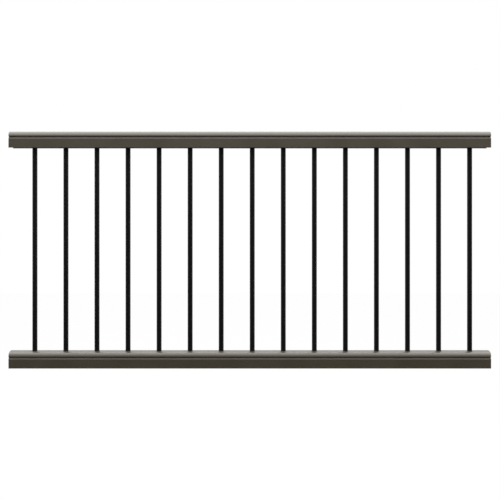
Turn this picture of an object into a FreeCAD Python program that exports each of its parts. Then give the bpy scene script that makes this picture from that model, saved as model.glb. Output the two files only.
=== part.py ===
import FreeCAD, Part

import math
import os

# Deck railing section, in millimetres.
# Two lengths of one hollow rail extrusion are joined by round tube balusters.
# X runs along the rails, -Y is the side that faces the viewer, and Z is up.
# The origin is the centre of the bottom rail's left end face.

# Lengths and spacings of the section
rail_length = 1832.0
rail_spacing = 839.0
baluster_pitch = 119.0
first_baluster_from_end = 92.4
last_baluster_least_margin = 45.0

# Rail extrusion: a flat-sided body with a rounded top edge, a groove, and a crown.
# The side walls run down past the floor as two low skirts.
rail_width = 70.0
body_height = 39.0
skirt_depth = 3.5
skirt_corner_radius = 1.2
skirt_land = 0.4
bead_radius = 4.5
bead_ledge = 0.5
groove_width = 4.0
crown_rise = 20.0
crown_top_radius = 110.0
lip_radius = 0.8
lip_land = 0.4
rail_wall = 2.2
chamber_corner_radius = 1.0

# Balusters and the holes that take them
baluster_diameter = 19.05
baluster_wall = 1.3
hole_clearance = 0.25
baluster_head_room = 2.0

# Heights within a rail, measured from the foot of its skirts
lip_level = body_height + groove_width
rail_height = lip_level + crown_rise
shoulder_level = lip_level + lip_radius + lip_land
floor_level = skirt_depth + rail_wall
web_underside = body_height - rail_wall
chamber_step_level = lip_level + rail_wall

# Half widths, measured from the rail's middle plane
half_width = rail_width / 2
neck_half_width = half_width - bead_radius - bead_ledge
neck_inner_half_width = neck_half_width - rail_wall
body_inner_half_width = half_width - rail_wall

# The crown's top arc blends into a shoulder arc that ends upright at the side
crown_top_centre = rail_height - crown_top_radius
shoulder_rise = shoulder_level - crown_top_centre
shoulder_radius = (
    (crown_top_radius**2 - half_width**2 - shoulder_rise**2)
    / (2 * (crown_top_radius - half_width))
)
shoulder_centre = half_width - shoulder_radius
blend_angle = math.degrees(math.atan2(shoulder_rise, shoulder_centre))

# Places of the rails and balusters in the section
bottom_rail_base = -rail_height / 2
top_rail_base = bottom_rail_base + rail_spacing
baluster_foot = bottom_rail_base + body_height
baluster_head = top_rail_base + web_underside - baluster_head_room
hole_radius = baluster_diameter / 2 + hole_clearance

# The balusters are set out from the left end, as many as leave their margin at the right end
baluster_room = rail_length - first_baluster_from_end - last_baluster_least_margin
baluster_count = int(baluster_room // baluster_pitch) + 1

# How far a boring tool runs past the wall that it goes through
cutter_overrun = 1.0


def point(y, z):
    return FreeCAD.Vector(0, y, z)


def line(start, end):
    return Part.makeLine(point(*start), point(*end))


def arc(centre_y, centre_z, radius, start_angle, end_angle):
    """Arc in the YZ plane, its angles in degrees turning from +Y towards +Z."""

    def on_circle(angle):
        turn = math.radians(angle)
        return point(centre_y + radius * math.cos(turn), centre_z + radius * math.sin(turn))

    middle_angle = (start_angle + end_angle) / 2
    return Part.Arc(on_circle(start_angle), on_circle(middle_angle), on_circle(end_angle)).toShape()


def mirrored_face(flank, top, bottom):
    """Face between a right flank and its mirror image, closed by a top and a bottom edge."""
    left_flank = [edge.mirror(FreeCAD.Vector(), FreeCAD.Vector(0, 1, 0)) for edge in flank]
    edges = flank + [top] + left_flank + [bottom]
    return Part.Face(Part.Wire(Part.__sortEdges__(edges)))


def crown_arcs(inset, foot_level):
    """Crown moved inwards by inset, from foot_level up: its foot, right shoulder and top arc."""
    radius = shoulder_radius - inset
    edges = []
    if foot_level < shoulder_level:
        foot = (half_width - inset, foot_level)
        foot_angle = 0.0
        edges.append(line(foot, (half_width - inset, shoulder_level)))
    else:
        foot_turn = math.asin((foot_level - shoulder_level) / radius)
        foot = (shoulder_centre + radius * math.cos(foot_turn), foot_level)
        foot_angle = math.degrees(foot_turn)
    edges.append(arc(shoulder_centre, shoulder_level, radius, foot_angle, blend_angle))
    top = arc(0, crown_top_centre, crown_top_radius - inset, blend_angle, 180 - blend_angle)
    return foot, edges, top


def rail_outline():
    """Outer shape of the extrusion, standing on its two skirts."""
    corner = min(skirt_corner_radius, rail_wall - skirt_land)
    bead_foot = body_height - bead_radius
    bead_centre = half_width - bead_radius
    lip_centre = half_width - lip_radius
    _, shoulder, top = crown_arcs(0, lip_level + lip_radius)
    flank = [
        line((body_inner_half_width, skirt_depth), (body_inner_half_width, 0)),
        line((body_inner_half_width, 0), (half_width - corner, 0)),
        arc(half_width - corner, corner, corner, -90, 0),
        line((half_width, corner), (half_width, bead_foot)),
        arc(bead_centre, bead_foot, bead_radius, 0, 90),
        line((bead_centre, body_height), (neck_half_width, body_height)),
        line((neck_half_width, body_height), (neck_half_width, lip_level)),
        line((neck_half_width, lip_level), (lip_centre, lip_level)),
        arc(lip_centre, lip_level + lip_radius, lip_radius, -90, 0),
    ] + shoulder
    bottom = line((-body_inner_half_width, skirt_depth), (body_inner_half_width, skirt_depth))
    return mirrored_face(flank, top, bottom)


def body_chamber():
    """Hollow of the flat-sided body, between the floor and the web under the groove."""
    side = body_inner_half_width
    low = chamber_corner_radius
    high = max(bead_radius - rail_wall, chamber_corner_radius)
    flank = [
        arc(side - low, floor_level + low, low, -90, 0),
        line((side, floor_level + low), (side, web_underside - high)),
        arc(side - high, web_underside - high, high, 0, 90),
    ]
    top = line((side - high, web_underside), (high - side, web_underside))
    bottom = line((low - side, floor_level), (side - low, floor_level))
    return mirrored_face(flank, top, bottom)


def crown_chamber():
    """Hollow of the crown and its neck, above the web, with the same wall all round."""
    neck = neck_inner_half_width
    foot, shoulder, top = crown_arcs(rail_wall, chamber_step_level)
    flank = [
        line((neck, body_height), (neck, chamber_step_level)),
        line((neck, chamber_step_level), foot),
    ] + shoulder
    bottom = line((-neck, body_height), (neck, body_height))
    return mirrored_face(flank, top, bottom)


def rail(base_level):
    """One cut length of the extrusion with its skirts standing at base_level."""
    section = rail_outline().cut([body_chamber(), crown_chamber()])
    bar = section.Faces[0].extrude(FreeCAD.Vector(rail_length, 0, 0))
    bar.translate(FreeCAD.Vector(0, 0, base_level))
    return bar


def upright_cylinder(x, radius, low, high):
    return Part.makeCylinder(radius, high - low, FreeCAD.Vector(x, 0, low))


def baluster_places():
    return [first_baluster_from_end + index * baluster_pitch for index in range(baluster_count)]


def bored(bar, low, high):
    """The bar with a hole for each baluster between two heights."""
    return bar.cut([upright_cylinder(x, hole_radius, low, high) for x in baluster_places()])


def bottom_rail():
    """Rail bored through the top of its crown for the balusters, which stand on its web."""
    inside_crown = bottom_rail_base + chamber_step_level
    over_crown = bottom_rail_base + rail_height + cutter_overrun
    return bored(rail(bottom_rail_base), inside_crown, over_crown)


def top_rail():
    """Rail bored through its floor for the balusters, which stop below its web."""
    under_floor = top_rail_base + skirt_depth - cutter_overrun
    inside_body = top_rail_base + floor_level + cutter_overrun
    return bored(rail(top_rail_base), under_floor, inside_body)


def baluster(x):
    """Round tube that stands on the bottom rail's web and ends inside the top rail."""
    radius = baluster_diameter / 2
    outside = upright_cylinder(x, radius, baluster_foot, baluster_head)
    return outside.cut(upright_cylinder(x, radius - baluster_wall, baluster_foot, baluster_head))


os.makedirs("parts", exist_ok=True)

pieces = {"bottom_rail": bottom_rail(), "top_rail": top_rail()}
for number, place in enumerate(baluster_places(), start=1):
    pieces[f"baluster_{number:02d}"] = baluster(place)

for name, shape in pieces.items():
    shape.exportStep(f"parts/{name}.step")
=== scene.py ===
import math

import bpy
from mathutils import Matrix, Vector
from mathutils.geometry import delaunay_2d_cdt


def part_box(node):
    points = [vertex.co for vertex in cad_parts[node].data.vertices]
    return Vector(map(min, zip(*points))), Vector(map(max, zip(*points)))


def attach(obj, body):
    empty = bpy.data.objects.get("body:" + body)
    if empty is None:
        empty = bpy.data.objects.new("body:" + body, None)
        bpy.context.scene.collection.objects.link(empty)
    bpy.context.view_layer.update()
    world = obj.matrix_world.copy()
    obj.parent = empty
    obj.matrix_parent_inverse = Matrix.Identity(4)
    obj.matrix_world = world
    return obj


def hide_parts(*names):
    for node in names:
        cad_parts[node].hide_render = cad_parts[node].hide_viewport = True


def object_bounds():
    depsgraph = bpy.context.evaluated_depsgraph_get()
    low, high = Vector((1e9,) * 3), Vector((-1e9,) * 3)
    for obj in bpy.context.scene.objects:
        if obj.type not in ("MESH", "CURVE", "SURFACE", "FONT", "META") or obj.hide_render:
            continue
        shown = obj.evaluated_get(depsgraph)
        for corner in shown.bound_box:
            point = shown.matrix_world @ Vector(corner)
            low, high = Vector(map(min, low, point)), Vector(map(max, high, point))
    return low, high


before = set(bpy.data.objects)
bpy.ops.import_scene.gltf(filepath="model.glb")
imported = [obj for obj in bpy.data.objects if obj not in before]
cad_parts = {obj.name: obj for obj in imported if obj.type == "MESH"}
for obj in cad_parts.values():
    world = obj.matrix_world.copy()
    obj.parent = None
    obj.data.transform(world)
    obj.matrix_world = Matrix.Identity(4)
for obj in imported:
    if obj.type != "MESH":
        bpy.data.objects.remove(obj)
cad_low, cad_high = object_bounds()

# Deck railing section: two lengths of one hollow rail extrusion, joined by round tube balusters.
# X runs along the rails, -Y is the side that faces the viewer, and Z is up.
RAILS = ("bottom_rail", "top_rail")
BALUSTERS = sorted(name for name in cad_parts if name.startswith("baluster"))
MIDDLE_X = (cad_low.x + cad_high.x) / 2

# Sizes within the rail's profile, in metres. Outer sizes and places come from the parts in model.glb.
MM = 0.001
BODY_HEIGHT = 39 * MM
SKIRT_DEPTH = 3.5 * MM
SKIRT_CORNER_RADIUS = 1.2 * MM
BEAD_RADIUS = 4.5 * MM
BEAD_LEDGE = 0.5 * MM
GROOVE_WIDTH = 4 * MM
CROWN_TOP_RADIUS = 110 * MM
LIP_RADIUS = 0.8 * MM
LIP_LAND = 0.4 * MM
RAIL_WALL = 2.2 * MM
CHAMBER_CORNER_RADIUS = 1 * MM
BALUSTER_WALL = 1.3 * MM
BALUSTER_END_CHAMFER = 0.2 * MM
HOLE_CLEARANCE = 0.25 * MM

# How finely the meshes are divided, with angles in degrees
ARC_STEP = 6
SMALL_ARC_STEP = 15
CROWN_TOP_STEP = 1.5
BALUSTER_SIDES = 72
SHARP_ANGLE = 28

# Points along a flat start this far inside its ends, so that it shades as a flat
FLAT_MARGIN = 0.4 * MM

# For the rails' cut ends: triangles inside the given loops, and when two points count as one
INSIDE_TRIANGLES = 1
MERGE_DISTANCE = 0.001 * MM

# The rail's skin has a ring of points this far from each side of a hole
HOLE_STATION_MARGIN = 4 * MM

# Places in a piece's list of materials
COATED, BARE, SAWN = range(3)

# Colours, linear
BRONZE = (0.054, 0.041, 0.022)
BLACK = (0.003, 0.003, 0.003)
MILL_ALUMINIUM = (0.62, 0.62, 0.60)
SAWN_ALUMINIUM = (0.72, 0.72, 0.70)
PALE_FLOOR = (0.80, 0.80, 0.80)

# The part of a noise's range that a finish makes use of
NOISE_REACH = (0.3, 0.7)
FINE_NOISE_REACH = (0.35, 0.65)
WIDE_NOISE_REACH = (0.2, 0.8)

# Powder coats: cloudiness, orange peel, and a grain of fine specks. Shades multiply a colour.
BRONZE_COAT_IOR = 1.9
BRONZE_COAT_ROUGHNESS = 0.34
BLACK_COAT_IOR = 1.3
BLACK_COAT_ROUGHNESS = 0.42
CLOUD_SIZE = 90 * MM
CLOUD_SHADES = (0.95, 1.05)
CLOUD_ROUGHNESS = 0.03
PEEL_SIZE = 2.4 * MM
PEEL_DEPTH = 0.05 * MM
GRAIN_SIZE = 0.6 * MM
GRAIN_DEPTH = 0.008 * MM
SPECK_SHADE = 1.3
SPECK_SHARE = 0.25

# Rail chambers: coat that fades out between two distances from a mouth, and mill aluminium beyond
COAT_FADE = (6 * MM, 34 * MM)
COAT_PATCH_SIZE = 14 * MM
COAT_PATCH_UNEVENNESS = 6 * MM

# Die lines of the chambers and draw lines of the tubes, by how many come to a metre along each axis
LINE_DETAIL = 3
DIE_LINES = (1.2, 900, 900)
DIE_LINE_DEPTH = 0.01 * MM
DIE_LINE_SHADE = 0.82
DIE_LINE_ROUGHNESS = (0.34, 0.5)
DRAW_LINES = (1100, 1100, 1.5)
DRAW_LINE_DEPTH = 0.008 * MM
DRAW_LINE_SHADE = 0.8
DRAW_LINE_ROUGHNESS = (0.32, 0.46)

# Cut ends of the rails: saw marks are rings around the blade's centre, in front of the section and below
BLADE_CENTRE = (0, -110 * MM, -240 * MM)
SAW_MARK_SCALE = 330
SAW_MARK_DISTORTION = 1.5
SAW_MARK_DETAIL = 2
SAW_MARK_DETAIL_SCALE = 0.3
SAW_MARK_DEPTH = 0.012 * MM
SAW_MARK_SHADE = 0.8
SAW_MARK_ROUGHNESS = (0.26, 0.4)

# Studio: levels are radiances, and lengths are in metres
WHITE_LEVEL = 1.0
FILL_LEVEL = 1.0
CEILING_LIGHT_LEVEL = 1.7
CEILING_LIGHT_SIZE = (4.0, 3.6)
CEILING_LIGHT_ABOVE = 1.0
CEILING_LIGHT_BEHIND = 0.6

# Reflections see the white background, but the room in front of the section is dim at eye level.
# The ramps are where dim gives way to white, along the direction's Y and Z.
ROOM_LEVEL = 0.05
ROOM_RAMP_Y = (-0.9, -0.1)
ROOM_RAMP_Z = (0.0, 0.45)

# The floor is dim to the section, apart from reflections of its far part, behind the ramp
FLOOR_BELOW = 0.57
FLOOR_SIDE = 16
FLOOR_ROUGHNESS = 0.8
FLOOR_WHITENESS = 0.93
FLOOR_DIM_LEVEL = 0.1
FLOOR_RAMP_Y = (-0.3, 0.5)

# Camera: level and square to the front. Its lens and sensor are in millimetres.
CAMERA_DISTANCE = 3.571
CAMERA_SIDE = 0.9168
CAMERA_ABOVE_BASE = 0.6649
CAMERA_LENS = 67.08
CAMERA_SENSOR = 36
CAMERA_SHIFT_Y = -0.1131


def arc(centre_y, centre_z, radius, start, end, step=ARC_STEP):
    """Points on an arc, its angles in degrees turning from +Y towards +Z."""
    count = max(2, round(abs(end - start) / step))
    turns = [math.radians(start + (end - start) * index / count) for index in range(count + 1)]
    return [(centre_y + radius * math.cos(turn), centre_z + radius * math.sin(turn)) for turn in turns]


def flat(start, end):
    """Two points just inside the ends of a straight stretch."""
    share = FLAT_MARGIN / math.dist(start, end)
    near = tuple(a + (b - a) * share for a, b in zip(start, end))
    far = tuple(b + (a - b) * share for a, b in zip(start, end))
    return [near, far]


def mirrored(points):
    return [(-y, z) for y, z in reversed(points)]


class RailProfile:
    """The rail's section in the YZ plane, measured from the middle of the skirts' foot."""

    def __init__(self, width, height):
        self.half_width = width / 2
        self.height = height
        self.inner = self.half_width - RAIL_WALL
        self.neck = self.half_width - BEAD_RADIUS - BEAD_LEDGE
        self.lip_level = BODY_HEIGHT + GROOVE_WIDTH
        self.shoulder_level = self.lip_level + LIP_RADIUS + LIP_LAND
        self.floor_level = SKIRT_DEPTH + RAIL_WALL
        self.web_underside = BODY_HEIGHT - RAIL_WALL
        self.top_centre = height - CROWN_TOP_RADIUS
        rise = self.shoulder_level - self.top_centre
        self.shoulder_radius = (
            (CROWN_TOP_RADIUS**2 - self.half_width**2 - rise**2)
            / (2 * (CROWN_TOP_RADIUS - self.half_width))
        )
        self.shoulder_centre = self.half_width - self.shoulder_radius
        self.blend_angle = math.degrees(math.atan2(rise, self.shoulder_centre))

    def crown(self, inset, foot_level):
        """Right half of the crown, moved inwards by inset, from foot_level to beside the middle."""
        radius = self.shoulder_radius - inset
        points = []
        foot_angle = 0
        if foot_level < self.shoulder_level:
            points.append((self.half_width - inset, foot_level))
        else:
            foot_angle = math.degrees(math.asin((foot_level - self.shoulder_level) / radius))
        points += arc(self.shoulder_centre, self.shoulder_level, radius, foot_angle, self.blend_angle)
        top = arc(0, self.top_centre, CROWN_TOP_RADIUS - inset, self.blend_angle, 90, CROWN_TOP_STEP)
        return points + top[1:-1]

    def outline(self):
        """Outer shape, standing on its two skirts, from the right skirt's inner side round to the left's."""
        corner = SKIRT_CORNER_RADIUS
        corner_centre = self.half_width - corner
        bead_centre = self.half_width - BEAD_RADIUS
        bead_foot = BODY_HEIGHT - BEAD_RADIUS
        lip_centre = self.half_width - LIP_RADIUS
        lip_top = self.lip_level + LIP_RADIUS
        right = [(self.inner, SKIRT_DEPTH), (self.inner, 0)]
        right += arc(corner_centre, corner, corner, -90, 0, SMALL_ARC_STEP)
        right += flat((self.half_width, corner), (self.half_width, bead_foot))
        right += arc(bead_centre, bead_foot, BEAD_RADIUS, 0, 90)
        right += [(self.neck, BODY_HEIGHT), (self.neck, self.lip_level)]
        right += arc(lip_centre, lip_top, LIP_RADIUS, -90, 0, SMALL_ARC_STEP)
        right += self.crown(0, self.shoulder_level)
        return right + [(0, self.height)] + mirrored(right)

    def body_chamber(self):
        """Hollow of the flat-sided body, between the floor and the web."""
        low = CHAMBER_CORNER_RADIUS
        high = BEAD_RADIUS - RAIL_WALL
        floor, web = self.floor_level, self.web_underside
        right = arc(self.inner - low, floor + low, low, -90, 0, SMALL_ARC_STEP)
        right += flat((self.inner, floor + low), (self.inner, web - high))
        right += arc(self.inner - high, web - high, high, 0, 90, SMALL_ARC_STEP)
        over = flat((self.inner - high, web), (high - self.inner, web))
        under = flat((low - self.inner, floor), (self.inner - low, floor))
        return under + right + over + mirrored(right)

    def crown_chamber(self):
        """Hollow of the crown and its neck, above the web."""
        neck = self.neck - RAIL_WALL
        step_level = self.lip_level + RAIL_WALL
        right = [(neck, BODY_HEIGHT), (neck, step_level)] + self.crown(RAIL_WALL, step_level)
        return right + [(0, self.height - RAIL_WALL)] + mirrored(right)


def new_piece(name, vertices, faces, materials=(), slots=None):
    mesh = bpy.data.meshes.new(name)
    mesh.from_pydata(vertices, [], faces)
    for material in materials:
        mesh.materials.append(material)
    if slots:
        mesh.polygons.foreach_set("material_index", slots)
    piece = bpy.data.objects.new(name, mesh)
    bpy.context.scene.collection.objects.link(piece)
    return piece


def shade_smooth(piece):
    """Smooth shading that breaks where the surface turns by more than SHARP_ANGLE."""
    piece.data.shade_smooth()
    piece.data.set_sharp_from_angle(angle=math.radians(SHARP_ANGLE))


def baluster_place(node):
    low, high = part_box(node)
    return (low.x + high.x) / 2


def baluster_radius(node):
    low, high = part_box(node)
    return (high.x - low.x) / 2


def rail_stations(left, right, hole_radius):
    """Places along the rail where its skin has a ring: the ends, and both sides of each hole."""
    reach = hole_radius + HOLE_STATION_MARGIN
    stations = [left, right]
    for node in BALUSTERS:
        stations += [baluster_place(node) - reach, baluster_place(node) + reach]
    return sorted(stations)


def wall_triangles(rings):
    """Triangles within the first ring and outside the others, by the numbers of their points."""
    points, loops = [], []
    for ring in rings:
        loops.append(list(range(len(points), len(points) + len(ring))))
        points += [Vector(point) for point in ring]
    filled = delaunay_2d_cdt(points, [], loops, INSIDE_TRIANGLES, MERGE_DISTANCE)
    _, _, triangles, given_points, _, loops_around = filled
    in_wall = [triangle for triangle, around in zip(triangles, loops_around) if list(around) == [0]]
    return [[given_points[corner][0] for corner in triangle] for triangle in in_wall]


def facing(triangle, vertices, side):
    """The triangle's corners in the order that makes it look along +X or, for side -1, along -X."""
    (_, ay, az), (_, by, bz), (_, cy, cz) = (vertices[corner] for corner in triangle)
    turn = (by - ay) * (cz - az) - (bz - az) * (cy - ay)
    return tuple(triangle) if turn * side > 0 else tuple(reversed(triangle))


def swept_faces(start, count, rows):
    """Faces of a ring of count points that is repeated in rows, by the number of its first point."""
    faces = []
    for first in range(start, start + (rows - 1) * count, count):
        for index in range(count):
            a, b = first + index, first + (index + 1) % count
            faces.append((a, b, b + count, a + count))
    return faces


def end_caps(rings, starts, rows, vertices):
    """Triangles that close the wall between the rings, in their first row and in their last."""
    left, right = [], []
    for start, ring in zip(starts, rings):
        last_row = start + (rows - 1) * len(ring)
        left += range(start, start + len(ring))
        right += range(last_row, last_row + len(ring))
    faces = []
    for triangle in wall_triangles(rings):
        faces.append(facing([left[corner] for corner in triangle], vertices, -1))
        faces.append(facing([right[corner] for corner in triangle], vertices, 1))
    return faces


def rail_piece(node, hole_radius, materials):
    """The rail as a section swept along X."""
    low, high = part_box(node)
    profile = RailProfile(high.y - low.y, high.z - low.z)
    rings = [profile.outline(), profile.body_chamber(), profile.crown_chamber()]
    stations = rail_stations(low.x, high.x, hole_radius)
    rows = len(stations)
    vertices, starts = [], []
    for ring in rings:
        starts.append(len(vertices))
        vertices += [(x, y, low.z + z) for x in stations for y, z in ring]
    skin, *chambers = (swept_faces(start, len(ring), rows) for start, ring in zip(starts, rings))
    inside = [face[::-1] for chamber in chambers for face in chamber]
    caps = end_caps(rings, starts, rows, vertices)
    slots = [COATED] * len(skin) + [BARE] * len(inside) + [SAWN] * len(caps)
    return new_piece(node + "_extrusion", vertices, skin + inside + caps, materials, slots)


def circle(x, radius, z):
    """Points on a level circle, none of them under or over the ridge of the rail's crown."""
    turns = [2 * math.pi * (index + 0.5) / BALUSTER_SIDES for index in range(BALUSTER_SIDES)]
    return [(x + radius * math.cos(turn), radius * math.sin(turn), z) for turn in turns]


def band(first, second):
    """Faces between two circles, by the numbers of their first points."""
    places = range(BALUSTER_SIDES)
    after = [(index + 1) % BALUSTER_SIDES for index in places]
    return [(first + a, first + b, second + b, second + a) for a, b in zip(places, after)]


def hole_heights(node):
    """Heights between which a rail's holes are cut: through its crown, or through its floor."""
    low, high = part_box(node)
    if node == "bottom_rail":
        return low.z + BODY_HEIGHT + GROOVE_WIDTH, high.z + RAIL_WALL
    return low.z, low.z + SKIRT_DEPTH + 2 * RAIL_WALL


def bore_holes(piece, radius, low, high):
    """Cuts an upright hole for each baluster between two heights."""
    vertices, faces = [], []
    for node in BALUSTERS:
        start = len(vertices)
        end = start + BALUSTER_SIDES
        vertices += circle(baluster_place(node), radius, low) + circle(baluster_place(node), radius, high)
        faces += band(start, end)
        faces += [tuple(reversed(range(start, end))), tuple(range(end, end + BALUSTER_SIDES))]
    cutter = new_piece("hole_cutter", vertices, faces)
    cut = piece.modifiers.new("holes", "BOOLEAN")
    cut.operation = "DIFFERENCE"
    cut.solver = "EXACT"
    cut.object = cutter
    graph = bpy.context.evaluated_depsgraph_get()
    mesh = bpy.data.meshes.new_from_object(piece.evaluated_get(graph))
    piece.modifiers.clear()
    piece.data = mesh
    bpy.data.objects.remove(cutter)


def baluster_piece(node, materials):
    """A round tube with a fine chamfer on its cut ends."""
    low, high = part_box(node)
    x = baluster_place(node)
    radius = baluster_radius(node)
    chamfer = BALUSTER_END_CHAMFER
    rims = [
        (radius, low.z + chamfer),
        (radius, high.z - chamfer),
        (radius - chamfer, high.z),
        (radius - BALUSTER_WALL, high.z),
        (radius - BALUSTER_WALL, low.z),
        (radius - chamfer, low.z),
    ]
    vertices, faces = [], []
    for rim_radius, z in rims:
        vertices += circle(x, rim_radius, z)
    for rim in range(len(rims)):
        faces += band(rim * BALUSTER_SIDES, (rim + 1) % len(rims) * BALUSTER_SIDES)
    slots = [COATED] * BALUSTER_SIDES + [BARE] * (len(faces) - BALUSTER_SIDES)
    return new_piece(node + "_tube", vertices, faces, materials, slots)


def shaded(colour, factor):
    return tuple(channel * factor for channel in colour)


class NodeTree:
    """Short calls for building a node tree. A value may be a plain one or another node's output."""

    def __init__(self, tree):
        self.nodes = tree.nodes
        self.links = tree.links

    def plug(self, value, socket):
        if isinstance(value, bpy.types.NodeSocket):
            self.links.new(value, socket)
        else:
            socket.default_value = value

    def math(self, operation, first, second=0.0):
        node = self.nodes.new("ShaderNodeMath")
        node.operation = operation
        self.plug(first, node.inputs[0])
        self.plug(second, node.inputs[1])
        return node.outputs[0]

    def axes(self, place):
        node = self.nodes.new("ShaderNodeSeparateXYZ")
        self.plug(place, node.inputs[0])
        return node.outputs

    def spread(self, value, low, high, out_low, out_high, smooth=False):
        """Maps value from low..high to out_low..out_high, and holds it there."""
        node = self.nodes.new("ShaderNodeMapRange")
        if smooth:
            node.interpolation_type = "SMOOTHSTEP"
        self.plug(value, node.inputs["Value"])
        node.inputs["From Min"].default_value = low
        node.inputs["From Max"].default_value = high
        node.inputs["To Min"].default_value = out_low
        node.inputs["To Max"].default_value = out_high
        return node.outputs["Result"]

    def choose(self, factor, first, second):
        """Level between two levels."""
        node = self.nodes.new("ShaderNodeMix")
        self.plug(factor, node.inputs["Factor"])
        self.plug(first, node.inputs["A"])
        self.plug(second, node.inputs["B"])
        return node.outputs["Result"]

    def choose_shader(self, factor, first, second):
        node = self.nodes.new("ShaderNodeMixShader")
        self.plug(factor, node.inputs[0])
        self.links.new(first, node.inputs[1])
        self.links.new(second, node.inputs[2])
        return node.outputs[0]

    def glow(self, level):
        node = self.nodes.new("ShaderNodeEmission")
        node.inputs["Strength"].default_value = level
        return node.outputs[0]

    def ray_kinds(self):
        """Whether a ray comes from the camera, and whether it was reflected or let through."""
        kinds = self.nodes.new("ShaderNodeLightPath").outputs
        passed_on = self.math("MAXIMUM", kinds["Is Glossy Ray"], kinds["Is Transmission Ray"])
        return kinds["Is Camera Ray"], passed_on


class Finish(NodeTree):
    """A material's node tree, with short calls for what the finishes share."""

    def __init__(self, name):
        self.material = bpy.data.materials.new(name)
        self.material.use_nodes = True
        super().__init__(self.material.node_tree)
        self.shader = self.nodes["Principled BSDF"]
        self.place = self.nodes.new("ShaderNodeTexCoord").outputs["Object"]

    def on_place(self, operation, vector):
        """The place on the object, in metres, after an operation with a vector."""
        node = self.nodes.new("ShaderNodeVectorMath")
        node.operation = operation
        self.plug(self.place, node.inputs[0])
        self.plug(vector, node.inputs[1])
        return node.outputs[0]

    def noise(self, size, detail=2.0, place=None):
        """Noise whose blotches are about size metres across, from 0 to 1."""
        node = self.nodes.new("ShaderNodeTexNoise")
        self.plug(self.place if place is None else place, node.inputs["Vector"])
        node.inputs["Scale"].default_value = 1 / size
        node.inputs["Detail"].default_value = detail
        return node.outputs["Fac"]

    def lines(self, per_metre):
        """Noise drawn out into lines, with so many to a metre along each axis."""
        return self.noise(1.0, detail=LINE_DETAIL, place=self.on_place("MULTIPLY", per_metre))

    def streaks(self, lines, shade):
        """Mill aluminium that goes down to a darker shade of itself along the lines."""
        tint = self.spread(lines, *NOISE_REACH, 0, 1)
        return self.blend(tint, shaded(MILL_ALUMINIUM, shade), MILL_ALUMINIUM)

    def blend(self, factor, first, second):
        """Colour between two colours, each a socket or a plain colour."""
        node = self.nodes.new("ShaderNodeMix")
        node.data_type = "RGBA"
        self.plug(factor, node.inputs["Factor"])
        a, b = (socket for socket in node.inputs if socket.type == "RGBA")
        self.plug(first if isinstance(first, bpy.types.NodeSocket) else (*first, 1), a)
        self.plug(second if isinstance(second, bpy.types.NodeSocket) else (*second, 1), b)
        return next(socket for socket in node.outputs if socket.type == "RGBA")

    def bump(self, height, depth, under=None):
        """Relief of the given depth in metres, laid over an earlier relief."""
        node = self.nodes.new("ShaderNodeBump")
        node.inputs["Distance"].default_value = depth
        self.plug(height, node.inputs["Height"])
        if under is not None:
            self.plug(under, node.inputs["Normal"])
        return node.outputs["Normal"]

    def set(self, **values):
        """Gives the shader's inputs their values. An input's name has _ for its spaces."""
        for socket, value in values.items():
            self.plug(value, self.shader.inputs[socket.replace("_", " ")])


def powder_coat(name, colour, ior, roughness):
    """Satin powder coat: slight orange peel, fine grain and faint cloudiness."""
    finish = Finish(name)
    clouds = finish.noise(CLOUD_SIZE)
    grain = finish.noise(GRAIN_SIZE, detail=1)
    peel = finish.noise(PEEL_SIZE, detail=1)
    tint = finish.spread(clouds, *NOISE_REACH, 0, 1)
    speck = finish.spread(grain, *FINE_NOISE_REACH, 0, SPECK_SHARE)
    cloudy = finish.blend(tint, *(shaded(colour, shade) for shade in CLOUD_SHADES))
    low, high = roughness - CLOUD_ROUGHNESS, roughness + CLOUD_ROUGHNESS
    finish.set(
        Base_Color=finish.blend(speck, cloudy, shaded(colour, SPECK_SHADE)),
        Roughness=finish.spread(clouds, *NOISE_REACH, low, high),
        IOR=ior,
        Normal=finish.bump(grain, GRAIN_DEPTH, under=finish.bump(peel, PEEL_DEPTH)),
    )
    return finish.material


def chamber_finish(name, coat_colour, length):
    """Mill aluminium with lengthwise die lines, and coat that has blown in at the rail's mouths."""
    finish = Finish(name)
    x = finish.axes(finish.place)["X"]
    from_mouth = finish.math("MINIMUM", x, finish.math("SUBTRACT", length, x))
    patches = finish.noise(COAT_PATCH_SIZE, detail=1)
    uneven = finish.spread(patches, *WIDE_NOISE_REACH, -COAT_PATCH_UNEVENNESS, COAT_PATCH_UNEVENNESS)
    bare = finish.spread(finish.math("ADD", from_mouth, uneven), *COAT_FADE, 0, 1, smooth=True)
    die_lines = finish.lines(DIE_LINES)
    streaks = finish.streaks(die_lines, DIE_LINE_SHADE)
    finish.set(
        Base_Color=finish.blend(bare, coat_colour, streaks),
        Metallic=bare,
        Roughness=finish.spread(die_lines, *WIDE_NOISE_REACH, *DIE_LINE_ROUGHNESS),
        Normal=finish.bump(die_lines, DIE_LINE_DEPTH),
    )
    return finish.material


def bare_tube_finish(name):
    """Mill aluminium of a drawn tube, with fine upright draw lines."""
    finish = Finish(name)
    draw_lines = finish.lines(DRAW_LINES)
    finish.set(
        Base_Color=finish.streaks(draw_lines, DRAW_LINE_SHADE),
        Metallic=1.0,
        Roughness=finish.spread(draw_lines, *WIDE_NOISE_REACH, *DRAW_LINE_ROUGHNESS),
        Normal=finish.bump(draw_lines, DRAW_LINE_DEPTH),
    )
    return finish.material


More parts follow.
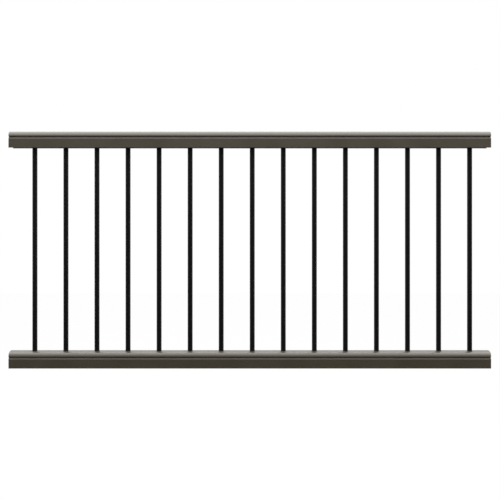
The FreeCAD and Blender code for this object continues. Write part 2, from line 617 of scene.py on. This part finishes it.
def sawn_finish(name):
    """Bare sawn aluminium, with the shallow arcs that a circular blade leaves."""
    finish = Finish(name)
    from_centre = finish.on_place("SUBTRACT", BLADE_CENTRE)
    wave = finish.nodes.new("ShaderNodeTexWave")
    wave.wave_type = "RINGS"
    wave.rings_direction = "X"
    finish.plug(from_centre, wave.inputs["Vector"])
    wave.inputs["Scale"].default_value = SAW_MARK_SCALE
    wave.inputs["Distortion"].default_value = SAW_MARK_DISTORTION
    wave.inputs["Detail"].default_value = SAW_MARK_DETAIL
    wave.inputs["Detail Scale"].default_value = SAW_MARK_DETAIL_SCALE
    marks = wave.outputs["Fac"]
    finish.set(
        Base_Color=finish.blend(marks, shaded(SAWN_ALUMINIUM, SAW_MARK_SHADE), SAWN_ALUMINIUM),
        Metallic=1.0,
        Roughness=finish.spread(marks, 0, 1, *SAW_MARK_ROUGHNESS),
        Normal=finish.bump(marks, SAW_MARK_DEPTH),
    )
    return finish.material


def make_rails():
    bronze = powder_coat("bronze_powder_coat", BRONZE, BRONZE_COAT_IOR, BRONZE_COAT_ROUGHNESS)
    chambers = chamber_finish("rail_chamber_aluminium", BRONZE, cad_high.x - cad_low.x)
    sawn = sawn_finish("sawn_rail_end")
    hole_radius = baluster_radius(BALUSTERS[0]) + HOLE_CLEARANCE
    for node in RAILS:
        piece = rail_piece(node, hole_radius, (bronze, chambers, sawn))
        bore_holes(piece, hole_radius, *hole_heights(node))
        shade_smooth(piece)
        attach(piece, "root")
        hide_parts(node)


def make_balusters():
    black = powder_coat("black_powder_coat", BLACK, BLACK_COAT_IOR, BLACK_COAT_ROUGHNESS)
    bare = bare_tube_finish("bare_tube_aluminium")
    for node in BALUSTERS:
        piece = baluster_piece(node, (black, bare))
        shade_smooth(piece)
        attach(piece, "root")
        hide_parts(node)


def make_world():
    """White to the camera and in reflections, apart from the dim room, and an even fill for all else."""
    world = bpy.data.worlds.new("studio")
    bpy.context.scene.world = world
    world.use_nodes = True
    tree = NodeTree(world.node_tree)
    direction = tree.axes(tree.nodes.new("ShaderNodeTexCoord").outputs["Generated"])
    eye_level = tree.spread(direction["Y"], *ROOM_RAMP_Y, ROOM_LEVEL, WHITE_LEVEL, smooth=True)
    rise = tree.spread(direction["Z"], *ROOM_RAMP_Z, 0, 1, smooth=True)
    reflected = tree.choose(rise, eye_level, WHITE_LEVEL)
    from_camera, passed_on = tree.ray_kinds()
    to_section = tree.choose(passed_on, FILL_LEVEL, reflected)
    background = tree.nodes["Background"]
    background.inputs["Color"].default_value = (1, 1, 1, 1)
    tree.plug(tree.choose(from_camera, to_section, WHITE_LEVEL), background.inputs["Strength"])


def make_ceiling_light():
    """A wide soft box above the section, of the power that gives its face its level."""
    width, depth = CEILING_LIGHT_SIZE
    data = bpy.data.lights.new("ceiling_light", "AREA")
    data.shape = "RECTANGLE"
    data.size = width
    data.size_y = depth
    data.energy = CEILING_LIGHT_LEVEL * math.pi * width * depth
    light = bpy.data.objects.new("ceiling_light", data)
    bpy.context.scene.collection.objects.link(light)
    light.location = (MIDDLE_X, CEILING_LIGHT_BEHIND, cad_high.z + CEILING_LIGHT_ABOVE)
    light.visible_camera = False


def make_floor():
    """Pale floor, nearly white to the camera but with a trace of shadow."""
    half = FLOOR_SIDE / 2
    level = cad_low.z - FLOOR_BELOW
    corners = [(-half, -half), (half, -half), (half, half), (-half, half)]
    vertices = [(MIDDLE_X + x, y, level) for x, y in corners]
    finish = Finish("pale_floor")
    finish.set(Base_Color=(*PALE_FLOOR, 1), Roughness=FLOOR_ROUGHNESS)
    pale = finish.choose_shader(FLOOR_WHITENESS, finish.shader.outputs[0], finish.glow(WHITE_LEVEL))
    dim = finish.glow(FLOOR_DIM_LEVEL)
    from_camera, passed_on = finish.ray_kinds()
    far_part = finish.spread(finish.axes(finish.place)["Y"], *FLOOR_RAMP_Y, 0, 1, smooth=True)
    shown = finish.math("MAXIMUM", from_camera, finish.math("MULTIPLY", passed_on, far_part))
    seen = finish.choose_shader(shown, dim, pale)
    finish.links.new(seen, finish.nodes["Material Output"].inputs["Surface"])
    floor = new_piece("floor", vertices, [(0, 1, 2, 3)], [finish.material])


def make_camera():
    data = bpy.data.cameras.new("camera")
    data.sensor_width = CAMERA_SENSOR
    data.lens = CAMERA_LENS
    data.shift_y = CAMERA_SHIFT_Y
    camera = bpy.data.objects.new("camera", data)
    bpy.context.scene.collection.objects.link(camera)
    camera.location = (CAMERA_SIDE, -CAMERA_DISTANCE, cad_low.z + CAMERA_ABOVE_BASE)
    camera.rotation_euler = (math.radians(90), 0, 0)
    bpy.context.scene.camera = camera


make_rails()
make_balusters()
make_world()
make_ceiling_light()
make_floor()
make_camera()
bpy.context.scene.view_settings.view_transform = "Standard"
